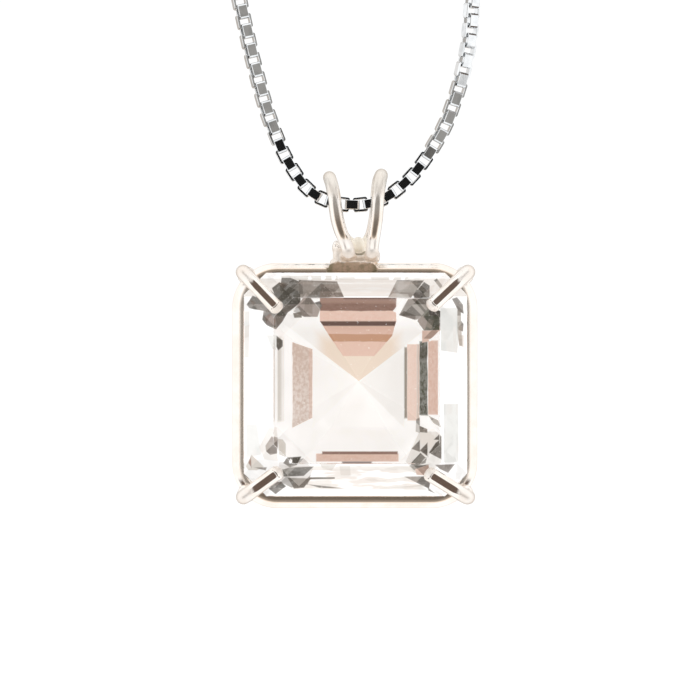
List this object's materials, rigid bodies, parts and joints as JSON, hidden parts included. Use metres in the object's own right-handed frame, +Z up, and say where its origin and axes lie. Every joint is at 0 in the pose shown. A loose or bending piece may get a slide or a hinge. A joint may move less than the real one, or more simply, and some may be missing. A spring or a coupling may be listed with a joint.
{
  "type": "square quartz pendant necklace",
  "caption": "Square step-cut clear quartz in a wire setting with corner claws and a double-loop bail, hung on a fine box chain with a ring clasp.",
  "frame": {"origin": "the hanging point at the very top of the necklace's loop, in the middle of the chain's fastening, where the loop hangs over a hook or the nape of a neck", "axes": "+Z up, along the length of the hanging loop; the stone's face looks along -Y; +X to the viewer's right as the pendant is worn seen from the front"},
  "size_m": [0.065, 0.0112, 0.2288],
  "materials": {
    "warm_metal": "polished pale champagne metal",
    "quartz": "clear polished quartz with a faint warm tint",
    "silver": "polished silver"
  },
  "bodies": {
    "necklace": {"chain_left": "silver", "chain_right": "silver", "end_cap_left": "silver", "end_cap_right": "silver", "clasp": "silver"},
    "pendant": {"setting": "warm_metal", "stone": "quartz"}
  },
  "joints": [
    {"name": "pendant_swing", "type": "hinge", "parent": "necklace", "child": "pendant", "pos_m": [0, 0, -0.205], "axis": [1, 0, 0], "range_deg": [-90, 90]}
  ]
}
